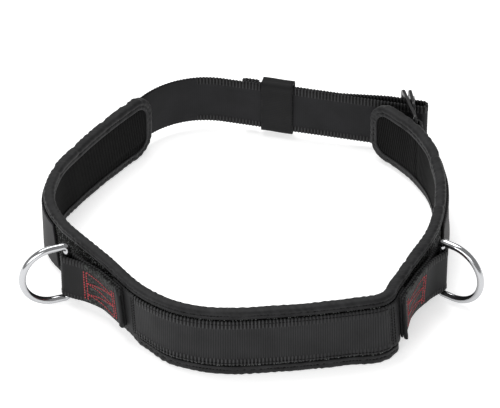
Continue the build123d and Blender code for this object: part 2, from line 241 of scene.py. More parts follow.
def new_material(name, **shader):
    """A material and its Principled shader, with constants set on the shader's own sockets."""
    material = bpy.data.materials.new(name)
    material.use_nodes = True
    surface = material.node_tree.nodes["Principled BSDF"]
    for socket, value in shader.items():
        surface.inputs[socket.replace("_", " ")].default_value = value
    return material, material.node_tree, surface


def maths(tree, operation, *values):
    return add_node(tree, "Math", dict(enumerate(values)), operation=operation).outputs[0]


def ramp(tree, value, start, end, low=0.0, high=1.0):
    """A value that runs from low to high while the given one runs from start to end."""
    return add_node(tree, "MapRange", {"Value": value, "From Min": start, "From Max": end,
                                       "To Min": low, "To Max": high}).outputs[0]


def swing(tree, value, pitch):
    """A smooth wave from 0 to 1 that repeats at a pitch."""
    wave = maths(tree, "COSINE", maths(tree, "MULTIPLY", value, 2 * pi / pitch))
    return maths(tree, "MULTIPLY_ADD", wave, 0.5, 0.5)


def bumped(tree, surface, height, depth, strength=1.0):
    """Relief that only the light sees."""
    bump = add_node(tree, "Bump", {"Height": height, "Distance": depth, "Strength": strength})
    tree.links.new(bump.outputs[0], surface.inputs["Normal"])


def mixed(tree, factor, first, second):
    """A colour between two, each a value or the socket that feeds it."""
    mix = add_node(tree, "Mix", data_type="RGBA")
    for socket, value in ((mix.inputs[0], factor), (mix.inputs[6], first), (mix.inputs[7], second)):
        if isinstance(value, bpy.types.NodeSocket):
            tree.links.new(value, socket)
        else:
            socket.default_value = value
    return mix.outputs[2]


# %% [markdown]
# ## Polyamide webbing
# Webbing is woven on a narrow loom. Its outer threads turn back at each edge and stand up as a
# row of thick ribs, and its middle is smoother, with fine ribs across it. The ribs' crests are a
# painted highlight and the gaps between them painted shade, and the fine ribs are painted lighter
# too. The pattern reads the flat UV map, in real millimetres.

# %% Webbing material
edge_band = 6.6 * mm
edge_rib = 2.85 * mm
fine_line = 1.8 * mm
pick = 1.1 * mm
press_fade = 60 * mm


def webbing(name, middle, gap_shade, rib_highlight, width, length, band=edge_band, fine=0.3,
            bare=(0.0, 0.0), patch=None, pressed=None):
    """Webbing of one width and length. bare is the length at each end without edge ribs,
    patch is the stretch of it that dense stitching has roughened, and pressed is where its
    ribs start to be flattened."""
    material, tree, surface = new_material(name, Roughness=0.6, Sheen_Weight=0.03,
                                           Specular_IOR_Level=0.16)
    flat = add_node(tree, "UVMap", uv_map="flat").outputs[0]
    parts = add_node(tree, "SeparateXYZ", {0: flat})
    along, across = parts.outputs[0], parts.outputs[1]
    off_middle = maths(tree, "ABSOLUTE", maths(tree, "SUBTRACT", across, width / 2))
    edge = ramp(tree, off_middle, width / 2 - band, width / 2 - band + 1.0 * mm)
    first, last = bare[0], length - bare[1]
    ribbed = maths(tree, "MULTIPLY", ramp(tree, along, first, first + 1.5 * mm),
                   ramp(tree, along, last, last - 1.5 * mm))
    edge = maths(tree, "MULTIPLY", edge, ribbed)
    if pressed:
        edge = maths(tree, "MULTIPLY", edge,
                     ramp(tree, along, pressed, pressed + press_fade, 1.0, 0.3))
    ribs = ramp(tree, swing(tree, along, edge_rib), 0.2, 0.8)
    lines = maths(tree, "MULTIPLY", swing(tree, along, fine_line), fine)
    picks = swing(tree, across, pick)
    wear = add_node(tree, "TexNoise", {"Vector": flat, "Scale": 55.0, "Detail": 6.0}).outputs[0]
    # Painted highlight on the edge ribs' crests and on the fine ribs, painted shade in the gaps
    # between edge ribs.
    plain = mixed(tree, lines, linear(middle), linear(rib_highlight))
    colour = mixed(tree, edge, plain, mixed(tree, ribs, linear(gap_shade), linear(rib_highlight)))
    height = maths(tree, "MULTIPLY", edge, ribs)
    height = maths(tree, "ADD", height, maths(tree, "MULTIPLY", lines, 0.5))
    height = maths(tree, "MULTIPLY_ADD", picks, 0.08, height)
    if patch:
        rough = add_node(tree, "TexNoise", {"Vector": flat, "Scale": 430.0}).outputs[0]
        zone = maths(tree, "MULTIPLY", ramp(tree, along, patch[0], patch[0] + 1.0 * mm),
                     ramp(tree, along, patch[1], patch[1] - 1.0 * mm))
        dense = mixed(tree, ramp(tree, rough, 0.48, 0.62), linear("#030303"), linear("#3a3d3b"))
        colour = mixed(tree, zone, colour, dense)
        height = maths(tree, "MULTIPLY_ADD", maths(tree, "MULTIPLY", zone, rough), 2.0, height)
    lit = add_node(tree, "VectorMath", {0: colour}, operation="SCALE")
    tree.links.new(ramp(tree, wear, 0.3, 0.7, 0.75, 1.2), lit.inputs["Scale"])
    tree.links.new(lit.outputs[0], surface.inputs["Base Color"])
    bumped(tree, surface, height, 0.4 * mm)
    return material


# %% [markdown]
# ## Cloths, tape and thread
# The binding is a smooth twill tape with a soft sheen. The cover is a coarse black mesh whose
# open weave shows as light specks. The lining is a knit with ribs a little over two millimetres
# apart, painted lighter on their crests as painted highlight and darker between them as painted
# shade, and the sewing threads are polyester, the red one shinier than the black one.

# %% Cloth materials
def binding_material():
    material, tree, surface = new_material("polyester_twill_tape", Roughness=0.6,
                                           Sheen_Weight=0.06, Specular_IOR_Level=0.2)
    flat = add_node(tree, "UVMap", uv_map="flat")
    twill = add_node(tree, "TexWave", {"Vector": flat.outputs[0], "Scale": 160.0,
                                       "Distortion": 1.5, "Detail": 2.0},
                     wave_type="BANDS", bands_direction="DIAGONAL")
    wear_and_edge_highlight = add_node(tree, "TexNoise", {"Vector": flat.outputs[0], "Scale": 90.0, "Detail": 6.0})
    shade = ramp(tree, wear_and_edge_highlight.outputs[0], 0.35, 0.7)
    colour = mixed(tree, shade, linear("#141415"), linear("#242425"))
    tree.links.new(colour, surface.inputs["Base Color"])
    height = maths(tree, "ADD", maths(tree, "MULTIPLY", twill.outputs[1], 0.2), wear_and_edge_highlight.outputs[0])
    bumped(tree, surface, height, 0.4 * mm, 0.7)
    return material


def mesh_material():
    material, tree, surface = new_material("black_open_mesh", Roughness=0.85,
                                           Specular_IOR_Level=0.1)
    place = add_node(tree, "TexCoord")
    cells = add_node(tree, "TexVoronoi", {"Vector": place.outputs["Object"], "Scale": 560.0,
                                          "Randomness": 0.55})
    speck = ramp(tree, cells.outputs["Distance"], 0.12, 0.42, 1.0, 0.0)
    uneven = add_node(tree, "TexNoise", {"Vector": place.outputs["Object"], "Scale": 260.0})
    spots = maths(tree, "MULTIPLY", speck, uneven.outputs[0])
    colour = mixed(tree, spots, linear("#050505"), linear("#a5a8a6"))
    tree.links.new(colour, surface.inputs["Base Color"])
    bumped(tree, surface, speck, 0.5 * mm)
    return material


lining_rib = 2.3 * mm
rib_slant = 0.16


def lining_material():
    material, tree, surface = new_material("ribbed_knit_lining", Roughness=0.9,
                                           Sheen_Weight=0.02, Specular_IOR_Level=0.08)
    flat = add_node(tree, "UVMap", uv_map="flat")
    parts = add_node(tree, "SeparateXYZ", {0: flat.outputs[0]})
    slanted = maths(tree, "MULTIPLY_ADD", parts.outputs[1], rib_slant, parts.outputs[0])
    rib_highlight = swing(tree, slanted, lining_rib)
    fuzz = add_node(tree, "TexNoise", {"Vector": flat.outputs[0], "Scale": 400.0, "Detail": 4.0})
    # Painted highlight on the knit's rib crests and painted shade in the troughs between them, made
    # uneven by the fuzz.
    colour = mixed(tree, maths(tree, "MULTIPLY", rib_highlight, fuzz.outputs[0]), linear("#020202"),
                   linear("#1c1c1c"))
    tree.links.new(colour, surface.inputs["Base Color"])
    bumped(tree, surface, maths(tree, "ADD", rib_highlight, fuzz.outputs[0]), 0.4 * mm)
    return material


def thread_material(name, dark, light, gloss):
    material, tree, surface = new_material(name, Roughness=0.5, Specular_IOR_Level=gloss)
    place = add_node(tree, "TexCoord")
    strands = add_node(tree, "TexNoise", {"Vector": place.outputs["Object"], "Scale": 700.0})
    tree.links.new(mixed(tree, strands.outputs[0], linear(dark), linear(light)),
                   surface.inputs["Base Color"])
    bumped(tree, surface, strands.outputs[0], 0.15 * mm)
    return material


tape = binding_material()
open_mesh = mesh_material()
lining = lining_material()
red_thread = thread_material("red_polyester_thread", "#8a222b", "#dc4a52", 0.35)
black_thread = thread_material("black_polyester_thread", "#030303", "#101010", 0.08)

# %% [markdown]
# ## Metals
# The rings are bent from bright steel rod and polished, so they mirror the room with only the
# faintest drag marks. The buckle's plates are stamped, tumbled and coated black, and their sharp
# edges are painted light grey as a painted highlight.

# %% Metal materials
def steel_material():
    material, tree, surface = new_material("polished_steel", Metallic=1.0, Roughness=0.13,
                                           Base_Color=linear("#b9babc"))
    place = add_node(tree, "TexCoord")
    marks = add_node(tree, "TexNoise", {"Vector": place.outputs["Object"], "Scale": 180.0,
                                        "Detail": 6.0})
    tree.links.new(ramp(tree, marks.outputs[0], 0.3, 0.7, 0.08, 0.2),
                   surface.inputs["Roughness"])
    bumped(tree, surface, marks.outputs[0], 0.05 * mm, 0.3)
    return material


def coated_material():
    material, tree, surface = new_material("black_coated_steel", Roughness=0.38,
                                           Specular_IOR_Level=0.5)
    place = add_node(tree, "TexCoord")
    grain = add_node(tree, "TexNoise", {"Vector": place.outputs["Object"], "Scale": 900.0,
                                        "Detail": 3.0})
    edge = add_node(tree, "NewGeometry")
    # Painted highlight: the sharp edges, found by pointiness, are painted light grey.
    wear_and_edge_highlight = ramp(tree, edge.outputs["Pointiness"], 0.52, 0.6)
    tree.links.new(mixed(tree, wear_and_edge_highlight, linear("#121213"), linear("#a9a9aa")),
                   surface.inputs["Base Color"])
    bumped(tree, surface, grain.outputs[0], 0.08 * mm, 0.5)
    return material


steel = steel_material()
coated = coated_material()
metal_of = {"left_d_ring": steel, "right_d_ring": steel, "buckle_frame": coated,
            "buckle_plate": coated, "buckle_bar": coated}
for node, metal in metal_of.items():
    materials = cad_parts[node].data.materials
    materials.clear()
    materials.append(metal)

# %% [markdown]
# ## The pad
# The pad is foam between a mesh cover and a knitted lining. Each skin is cut flat, stands out
# fuller inside its edges and is softly uneven. The lining also has two creases, one along the
# pad near its left end and one across it near its right end.

# %% Pad skins
skin_inset = 2.0 * mm
skin_thick = 3.6 * mm
skin_corner = 19 * mm
skin_edge_side = 2.9 * mm
skin_swell = 0.9 * mm
swell_long = 22 * mm
swell_high = 30 * mm
long_crease_height = 14 * mm
long_crease_half = 3 * mm
long_crease_depth = 0.9 * mm
long_crease_full = 20 * mm
long_crease_end = 100 * mm
cross_crease_x = 735 * mm
cross_crease_half = 4 * mm
cross_crease_depth = 1.0 * mm


def uneven_swell(station, height, seed, size):
    """How far cloth swells in or out at a place on it, in metres."""
    where = Vector((station / swell_long, height / swell_high, seed))
    return size * noise.noise(where)


def creases(x, height):
    """How deep the lining's two creases are, at a distance along it and a height up it."""
    off_long = abs(height - long_crease_height)
    long_depth = long_crease_depth * max(0.0, 1 - off_long / long_crease_half)
    long_depth *= ease(long_crease_end, long_crease_full, x)
    off_cross = abs(x - cross_crease_x)
    return long_depth + cross_crease_depth * max(0.0, 1 - off_cross / cross_crease_half)


def pad_skin(name, way, material, nodes):
    length = pad_length - 2 * skin_inset
    width = pad_height - 2 * skin_inset
    bm = flat_piece(length, width, 420, 30, thickness=skin_thick)

    def place(x, y, z):
        end = max(0.0, min(x, length - x))
        low = 0.0
        if end < skin_corner:
            low = skin_corner - (skin_corner ** 2 - (skin_corner - end) ** 2) ** 0.5
        height = skin_inset + low + y * (width - 2 * low) / width
        full = ease(3 * mm, 9 * mm, min(end, y, width - y))
        side = 0.0
        if z > 0:
            side = skin_edge_side + skin_swell * full + uneven_swell(x, y, way, 0.4 * mm) * full
        if z > 0 and way < 0:
            side -= creases(x, height)
        return on_pad(x + skin_inset, height, way * side)

    lay(bm, place)
    piece = finish_piece(name, bm, material, "belt", nodes)
    return piece


pad_skin("pad_cover", 1, open_mesh, ("outer_cover", "foam_core"))
pad_skin("pad_lining", -1, lining, ("inner_lining",))

# %% [markdown]
# ## The rolled binding
# A tape is folded over the pad's edge all the way round and stitched through. It is longer on
# the outside of a bend than on the inside, so it puckers: short soft folds run out of the
# stitch row and fade over the roll, and at a few stations a deeper tuck crosses the upper edge.
# The tape is a closed ring, cut flat as one long grid whose width wraps round the edge.

# %% Binding
outer_lap = 6.4 * mm
wide_lap = 8.6 * mm
stitched = 0.66
roll = 4.5 * mm
tape_thick = 0.8 * mm
join_gap = 0.02 * mm
half_tape = 10 * mm
pad_corner = 20
edge_run = 2 * [straight(pad_length / mm - 2 * pad_corner), bend(pad_corner, 90),
                straight(pad_height / mm - 2 * pad_corner), bend(pad_corner, 90)]
edge_line = line_of((pad_corner * mm, 0.0, 0.0), edge_run)
edge_length = sum(length for length, turn in edge_run)
fold_slant = 3 * mm
pucker_pitch = 6.4 * mm
pucker_limit = 0.7 * mm
groove_depth = 0.75 * mm
groove_half = 0.09


def tape_section(across, height):
    """Inset from the pad's edge and side, for a place across the tape from -1 to 1. The tape
    laps less over the outer face along the pad's upper edge than anywhere else."""
    narrow = ease(0.2 * pad_height, 0.8 * pad_height, height) if across >= 0 else 0.0
    flat_part = wide_lap + (outer_lap - wide_lap) * narrow - roll
    reach = abs(across) * (flat_part + roll * pi / 2)
    sign = 1.0 if across >= 0 else -1.0
    if reach > roll * pi / 2:
        return roll + (reach - roll * pi / 2), sign * roll
    angle = reach / roll
    square = (abs(cos(angle)) ** 3 + abs(sin(angle)) ** 3) ** (1 / 3)
    return roll - roll * cos(angle) / square, sign * roll * sin(angle) / square


def pucker(run, across):
    """How far the puckers lift the tape. They run at a slant and fade at the tape's edge."""
    slant = run + fold_slant * across
    drift = 4 * noise.noise(Vector((slant / (15 * mm), 0.0, 7.0)))
    folds = cos(2 * pi * slant / pucker_pitch + drift)
    folds *= 0.6 + noise.noise(Vector((slant / (11 * mm), across, 5.0)))
    broad = noise.noise(Vector((slant / (19 * mm), across, 9.0)))
    off_tape_edge = ease(1.0, 0.8, abs(across))
    return (0.3 * folds + 0.45 * broad) * off_tape_edge * mm


tucks = [28 * mm, 57 * mm, 98 * mm, 131 * mm, 560 * mm, 640 * mm, 705 * mm, 752 * mm]
tuck_half = 5 * mm
tuck_depth = 0.9 * mm


def on_edge(run, across, lift):
    """The place of a point of the tape, round the pad's edge."""
    s, z, heading = edge_line(run % edge_length)
    for tuck_station in tucks:
        off = abs(s - tuck_station + fold_slant * across)
        if z > pad_height / 2 and off < tuck_half:
            lift -= tuck_depth * ease(tuck_half, 0.0, off) * ease(1.0, 0.7, abs(across))
    inset, side = tape_section(across, z)
    turn = across * 0.9 * pi / 2
    inset -= lift * cos(turn)
    side += lift * sin(turn)
    way = radians(heading)
    return on_pad(s - inset * sin(way), z + inset * cos(way), side)


def edge_binding():
    bm = flat_piece(edge_length, 2.0, 1250, 26, thickness=tape_thick)
    flat = bm.loops.layers.uv["flat"]
    for face in bm.faces:
        for loop in face.loops:
            loop[flat].uv.y *= half_tape

    def place(x, y, z):
        across = y - 1.0
        lift = -tape_thick
        if z >= 0:
            groove = groove_depth * ease(groove_half, 0.0, abs(abs(across) - stitched))
            lift = min(pucker(x, across) - groove, pucker_limit)
        return on_edge(x, across, lift)

    lay(bm, place)
    bmesh.ops.remove_doubles(bm, verts=bm.verts, dist=join_gap)
    finish_piece("rolled_binding", bm, tape, "belt", ("edge_binding",))


edge_binding()

# %% [markdown]
# ## Stitches
# A row of lock stitches is a row of short thread loops that sink at each end. One stitch is a
# small stretched ball of a few faces, repeated along the row in the flat place of the piece it
# is sewn to, and laid on the belt with it.

# %% Stitch rows
stitch_pitch = 2.6 * mm


def stitch_row(bm, start, end, lift, wide=0.42 * mm):
    """Stitches from one flat point to another, a lift above the piece's middle."""
    run = hypot(end[0] - start[0], end[1] - start[1])
    count = max(1, round(run / stitch_pitch))
    angle = atan2(end[1] - start[1], end[0] - start[0])
    for index in range(count):
        part = (index + 0.5) / count
        where = Vector((start[0] + (end[0] - start[0]) * part,
                        start[1] + (end[1] - start[1]) * part, lift))
        shape = Matrix.Diagonal((run / count * 0.46, wide, 0.3 * mm, 1.0))
        turn = Matrix.Rotation(angle, 4, "Z")
        bmesh.ops.create_icosphere(bm, subdivisions=1, radius=1.0,
                                   matrix=Matrix.Translation(where) @ turn @ shape)


lap_length = 9 * mm


def binding_thread():
    """The binding's flat width runs from -1 to 1, so each stitch's width is scaled to that."""
    bm = bmesh.new()
    for across in (stitched, -stitched):
        stitch_row(bm, (0.0, across), (edge_length, across), -0.6 * mm)
    for vert in bm.verts:
        middle = stitched if vert.co.y > 0 else -stitched
        vert.co.y = middle + (vert.co.y - middle) / lap_length
    lay(bm, on_edge)
    finish_piece("binding_stitches", bm, black_thread, "belt",
                 ("binding_thread",))


binding_thread()

# %% [markdown]
# ## Webbing on the belt
# A strap has its own line, made of the same kind of pieces as the pad's route. Its flat points
# are laid along that line, standing on edge. The thick ribs of its edges are real relief, and
# they make the strap's outline finely toothed.

# %% Strap shapes
rib_height = 0.4 * mm
tooth_depth = 0.3 * mm
tooth_reach = 0.4 * mm
thread_lift = web_thick / 2 + 0.1 * mm
web_low = (pad_height - web_width) / 2
web_side = half_pad + web_thick / 2


def rib_lift(x, y, width, length, bare=(0.0, 0.0), band=edge_band):
    """Relief of the edge ribs, from 0 to 1."""
    off_edge = min(y, width - y)
    off_end = min(x - bare[0], length - bare[1] - x)
    return ((0.5 + 0.5 * cos(2 * pi * x / edge_rib)) * ease(0.0, 1.5 * mm, off_end)
            * ease(band + 0.6 * mm, band - 0.6 * mm, off_edge))


def kept_thickness(off_edge):
    """The share of a webbing's thickness that is left at a distance from its rounded edge."""
    return 0.35 + 0.65 * ease(-0.4 * mm, 1.0 * mm, off_edge)


def toothed(x, y, width):
    """A place across a webbing, with its edge drawn out and in by a tooth at every rib."""
    if min(y, width - y) >= tooth_reach:
        return y
    tooth = tooth_depth * cos(2 * pi * x / edge_rib)
    return y + tooth if y > width / 2 else y - tooth


def strap_place(line, length, outward, shift, bare=(0.0, 0.0)):
    """A function that lays flat webbing on edge along a line. outward is 1 if the strap's
    outer face is to the right of the line's heading, -1 if it is to the left. shift gives
    how far the strap stands to the right of its line at a place along it and a height."""

    def place(x, y, z):
        relief = rib_height * rib_lift(x, y, web_width, length, bare) - rib_height / 2
        side = z * kept_thickness(min(y, web_width - y)) + (relief if z > 0 else -relief)
        height = web_low + toothed(x, y, web_width)
        plan_x, plan_y = beside(line(x), outward * side + shift(x, height))
        return Vector((plan_x, plan_y, height))

    return place


def strap(name, length, width, place, material, body, nodes):
    """Lays a webbing whose grid is finer near its two edges, where the ribs are."""
    near_edge = [0, 0.35, 0.9, 1.8, 3.2, 4.6, 6.0, 6.6, 7.4, 10, 13.5, 17]
    half = [row * mm for row in near_edge] + [width / 2 - 2 * mm]
    rows = half + [width / 2] + [width - row for row in reversed(half)]
    across = len(rows) - 1
    bm = flat_piece(length, width, int(length / (0.7 * mm)), across, thickness=web_thick)
    flat = bm.loops.layers.uv["flat"]
    for vert in bm.verts:
        vert.co.y = rows[round(vert.co.y / width * across)]
    for face in bm.faces:
        for loop in face.loops:
            loop[flat].uv.y = loop.vert.co.y
    lay(bm, place)
    finish_piece(name, bm, material, body, nodes)


def box_stitch(bm, near, far, crossed):
    """A box of stitch rows on a webbing of full width, with a cross in it if crossed."""
    low, high = 4 * mm, web_width - 4 * mm
    for column in (near, far):
        stitch_row(bm, (column, low), (column, high), thread_lift)
    for row in (low, high):
        stitch_row(bm, (near, row), (far, row), thread_lift)
    if crossed:
        stitch_row(bm, (near, low), (far, high), thread_lift)
        stitch_row(bm, (near, high), (far, low), thread_lift)


# %% [markdown]
# ## Back webbing
# A wide webbing crosses the back from hip to hip, stitched to the pad. Its ends tuck under the
# ring straps, and a cross seam holds each one. Its edge ribs are flattened over its right half.

# %% Back webbing
tuck = 14 * mm
back_first = left_hem - tuck
back_length = right_hem + tuck - back_first
back_width = 41 * mm
back_rise = 2 * mm
back_low = pad_height / 2 + back_rise - back_width / 2
bare_end = tuck + 11 * mm
back_bare = (bare_end, bare_end)
back_pressed = back_length * 0.52
back_seams = (left_hem + 10 * mm, right_hem - 10 * mm)
seam_half = 1.8 * mm
seam_depth = 0.9 * mm
# Colours: the middle, painted shade between the edge ribs, painted highlight on them.
back_web = webbing("black_polyamide_webbing", "#171718", "#050505", "#373738", back_width,
                   back_length, fine=0.45, bare=back_bare, pressed=back_pressed)


def back_place(x, y, z):
    station = back_first + x
    side = z * kept_thickness(min(y, back_width - y))
    if z > 0:
        ribs = rib_height * rib_lift(x, y, back_width, back_length, back_bare)
        ribs *= 1 - 0.7 * ease(back_pressed, back_pressed + press_fade, x)
        side += ribs - rib_height / 2
        for seam in back_seams:
            side -= seam_depth * max(0.0, 1 - abs(station - seam) / seam_half)
    y = toothed(x, y, back_width)
    swell = max(0.0, uneven_swell(station, y, 5.0, 0.3 * mm))
    return on_pad(station, back_low + y, web_side + side + swell)


strap("back_strap", back_length, back_width, back_place, back_web, "belt",
      ("back_webbing",))


def back_thread():
    """Two rows across each end, and one along each edge between them."""
    bm = bmesh.new()
    low, high = 3 * mm, back_width - 3 * mm
    for seam in back_seams:
        for x in (seam - back_first, seam - back_first + 2.5 * mm):
            stitch_row(bm, (x, low), (x, high), thread_lift)
    near, far = left_hem + 12 * mm - back_first, right_hem - 12 * mm - back_first
    for y in (2.2 * mm, back_width - 2.2 * mm):
        stitch_row(bm, (near, y), (far, y), thread_lift)
    lay(bm, lambda x, y, z: on_pad(back_first + x, back_low + y, web_side + z))
    finish_piece("back_strap_stitches", bm, black_thread, "belt",
                 ("back_webbing_thread",))


back_thread()

# %% [markdown]
# ## Ring straps
# Each hip ring hangs in a loop of narrower, smoother webbing that runs forward to the ring,
# turns round its bar, comes back over itself and ends in a small folded hem. The strap slopes a
# little, lower at the ring, and it leans with the pad where it is sewn down.

# %% Ring straps
ring_width = 40 * mm
ring_low = 11 * mm
ring_band = 5.5 * mm
ring_rib_height = 0.3 * mm
hem_radius = 0.9 * mm
hem_flat = 2.5 * mm
hem_thinning = 0.3
panel_length = 39 * mm
panel_to_hem = 7.5 * mm
panel_margin = 3 * mm
strap_drop = 3.2 * mm
strap_slope = 5.0 * mm
strap_side = half_pad + web_thick + web_thick / 2
loop_radius = 4.5 * mm
loop_lean = 22.0
loop_ease = 30 * mm


def closing_loop(length, radius, way, lap_end):
    """Pieces of a loop: out, round the bar, in until the layers meet, and flat."""
    angle = radians(loop_lean)
    closing = radius * (1 + cos(angle)) - loop_ease * (1 - cos(angle)) - layer_gap
    slant = (closing - web_thick) / sin(angle)
    flat = lap_end - (radius + loop_ease) * sin(angle) - slant * cos(angle)
    return [(length, 0.0), (radius * (pi + angle), way * (180 + loop_lean)), (slant, 0.0),
            (loop_ease * angle, -way * loop_lean), (flat, 0.0)]


def ring_strap(name, hem, run, way, node, thread_node):
    """way is 1 on the left, where the strap runs back towards the pad's left end. run is the
    length from the hem to the ring's bar."""
    hem_spot = pad_line(hem)
    start_x, start_y = beside(hem_spot, strap_side)
    heading = hem_spot[2]
    pieces = closing_loop(run, loop_radius, way, run)
    fold_start = sum(piece[0] for piece in pieces)
    pieces += [(hem_radius * pi, -180.0 * way), (hem_flat, 0.0)]
    line = line_of((start_x, start_y, heading + 180 if way > 0 else heading), pieces)
    total = sum(piece[0] for piece in pieces)
    last = fold_start - panel_to_hem
    first = last - panel_length
    out_x, out_y = sin(radians(heading)), -cos(radians(heading))
    along_x, along_y = -way * cos(radians(heading)), -way * sin(radians(heading))

    def place(u, v, z):
        folded = ease(fold_start - 2 * mm, fold_start + 2 * mm, u)
        side = z * kept_thickness(min(v, ring_width - v)) * (1 - hem_thinning * folded)
        if u < first - 4 * mm or z * way < 0:
            relief = ring_rib_height * rib_lift(u, v, ring_width, total, band=ring_band)
            side += relief if z > 0 else -relief
        plan_x, plan_y = beside(line(u), side)
        from_hem = (plan_x - start_x) * along_x + (plan_y - start_y) * along_y
        to_bar = run - from_hem
        height = ring_low + v - strap_drop + strap_slope * to_bar / run
        held = ease(6 * mm, 40 * mm, to_bar)
        lean_by = lean(hem - way * from_hem, height) * held
        return Vector((plan_x + out_x * lean_by, plan_y + out_y * lean_by, height))

    # Colours: the middle, painted shade between the edge ribs, painted highlight on them.
    ring_web = webbing(name, "#121213", "#080808", "#2b2b2c", ring_width, total, band=ring_band,
                       fine=0.08, patch=(first - 1 * mm, last + 1 * mm))
    strap(name, total, ring_width, place, ring_web, "belt", (node,))
    red_panel(name, place, first, last, way, thread_node)


def red_panel(name, place, first, last, way, thread_node):
    """Two rows of red stitches at each end of the panel, and a zigzag between them."""
    low, high = 4 * mm, ring_width - 7 * mm
    outer = way * (web_thick / 2 + 0.12 * mm)
    near, far = first + panel_margin, last - panel_margin
    bm = bmesh.new()
    for column in (first, near, far, last):
        stitch_row(bm, (column, low), (column, high), outer, wide=0.55 * mm)
    strokes = 5
    for stroke in range(strokes):
        begin, end = (near, far) if stroke % 2 == 0 else (far, near)
        stitch_row(bm, (begin, high - (high - low) * stroke / strokes),
                   (end, high - (high - low) * (stroke + 1) / strokes), outer, wide=0.5 * mm)
    lay(bm, place)
    finish_piece(name + "_red_stitches", bm, red_thread, "belt", (thread_node,))


ring_strap("left_ring_webbing", left_hem, left_strap_run, 1, "left_ring_strap",
           "left_ring_thread")
ring_strap("right_ring_webbing", right_hem, right_strap_run, -1, "right_ring_strap",
           "right_ring_thread")

# %% [markdown]
# ## Waist strap
# The waist strap starts a little behind the left ring, follows the pad to its end, bends across
# the front, passes the buckle's two windows, turns round the slide bar and comes back as the
# tail, which ends in a folded hem. It is one strap, so it is one line.

# %% Waist strap
strap_start = left_bar - 32 * mm
front_bend = bend(67, -64.5)
front_run = 171 * mm
hairpin = 4.0
buckle_run = 26 * mm
tail_stop = 18 * mm
tail_turn = 8.0
tail_lean = radians(tail_turn)
tail_ease = 60 * mm
tail_hem_radius = 1.3
tail_hem_length = 12


def pad_pieces(first, last, side):
    """The pad's route between two stations, for a line that runs at one side of it."""
    kept = []
    here = 0.0
    for length, turn in pad_route:
        low, high = max(first, here), min(last, here + length)
        if high > low:
            part = (high - low) / length
            kept.append((length * part + side * radians(turn * part), turn * part))
        here += length
    return kept


tail_drop = 2 * hairpin * mm - web_thick - layer_gap
tail_slant = (tail_drop - 2 * tail_ease * (1 - cos(tail_lean))) / sin(tail_lean)
tail_taper = 2 * tail_ease * sin(tail_lean) + tail_slant * cos(tail_lean)
on_pad_part = pad_pieces(0.0, strap_start, web_side)
back_to_end = [(length, -turn) for length, turn in reversed(on_pad_part)]
to_pad_end = sum(piece[0] for piece in back_to_end)
waist_pieces = back_to_end + [
    front_bend, (front_run, 0.0), bend(hairpin, 180), (buckle_run, 0.0),
    (tail_ease * tail_lean, tail_turn), (tail_slant, 0.0), (tail_ease * tail_lean, -tail_turn),
    (front_run - buckle_run - tail_taper - tail_stop, 0.0), bend(tail_hem_radius, -180),
    straight(tail_hem_length)]
waist_start = beside(pad_line(strap_start), web_side) + (pad_line(strap_start)[2] + 180,)
waist_line = line_of(waist_start, waist_pieces)
waist_length = sum(piece[0] for piece in waist_pieces)


def waist_shift(u, height):
    """Lean of the pad under the strap, dying out where the strap leaves it."""
    if u < to_pad_end:
        return -lean(strap_start * (1 - u / to_pad_end), height)
    return -lean(0.0, height) * ease(to_pad_end + 60 * mm, to_pad_end, u)


waist_bare = (to_pad_end + 52 * mm, 0.0)
waist_place = strap_place(waist_line, waist_length, -1, waist_shift, waist_bare)
# Colours: the middle, painted shade between the edge ribs, painted highlight on them.
strap_web = webbing("black_polyamide_strap", "#18181a", "#080808", "#343435", web_width,
                    waist_length, fine=0.08, bare=waist_bare)
strap("waist_webbing", waist_length, web_width, waist_place, strap_web, "belt",
      ("waist_strap",))


def waist_threads():
    bm = bmesh.new()
    box_stitch(bm, to_pad_end - 34 * mm, to_pad_end - 8 * mm, crossed=True)
    lay(bm, waist_place)
    finish_piece("waist_strap_stitches", bm, black_thread, "belt",
                 ("waist_strap_thread",))
    bm = bmesh.new()
    for from_end in (4.5 * mm, 7.5 * mm):
        column = waist_length - from_end
        stitch_row(bm, (column, 4 * mm), (column, web_width - 4 * mm), thread_lift)
    lay(bm, waist_place)
    finish_piece("tail_hem_stitches", bm, black_thread, "belt",
                 ("tail_thread",))


waist_threads()

# %% [markdown]
# ## Anchor webbing
# On the right a shorter webbing starts behind the ring, follows the pad and turns round the
# front bar of the buckle's frame plate, which it holds.

# %% Anchor webbing
anchor_start = right_bar + 26 * mm
anchor_leave = 731.5 * mm
anchor_reach = 27 * mm
anchor_lap = 29 * mm
bar_width = 6.0
bar_depth = 2.5
bar_clearance = 0.35
anchor_radius = (hypot(bar_width, bar_depth) / 2 + bar_clearance) * mm + web_thick / 2
anchor_pieces = pad_pieces(anchor_start, anchor_leave, web_side)
anchor_on_pad = sum(piece[0] for piece in anchor_pieces)
anchor_pieces += closing_loop(anchor_reach, anchor_radius, -1, anchor_lap)
anchor_spot = beside(pad_line(anchor_start), web_side) + (pad_line(anchor_start)[2],)
anchor_line = line_of(anchor_spot, anchor_pieces)
anchor_length = sum(piece[0] for piece in anchor_pieces)


def anchor_shift(u, height):
    """Lean of the pad under the webbing, dying out where the webbing leaves it."""
    station = anchor_start + (anchor_leave - anchor_start) * min(1.0, u / anchor_on_pad)
    return lean(station, height) * ease(anchor_on_pad + 4 * mm, anchor_on_pad - 40 * mm, u)


anchor_place = strap_place(anchor_line, anchor_length, 1, anchor_shift)
# Colours: the middle, painted shade between the edge ribs, painted highlight on them.
anchor_web = webbing("black_polyamide_anchor", "#161617", "#080808", "#303031", web_width,
                     anchor_length, fine=0.08)
strap("anchor_strap", anchor_length, web_width, anchor_place, anchor_web, "belt",
      ("anchor_webbing",))


def anchor_stitches():
    bm = bmesh.new()
    box_stitch(bm, anchor_on_pad - 30 * mm, anchor_on_pad - 4 * mm, crossed=False)
    lay(bm, anchor_place)
    finish_piece("anchor_strap_stitches", bm, black_thread, "belt",
                 ("anchor_thread",))


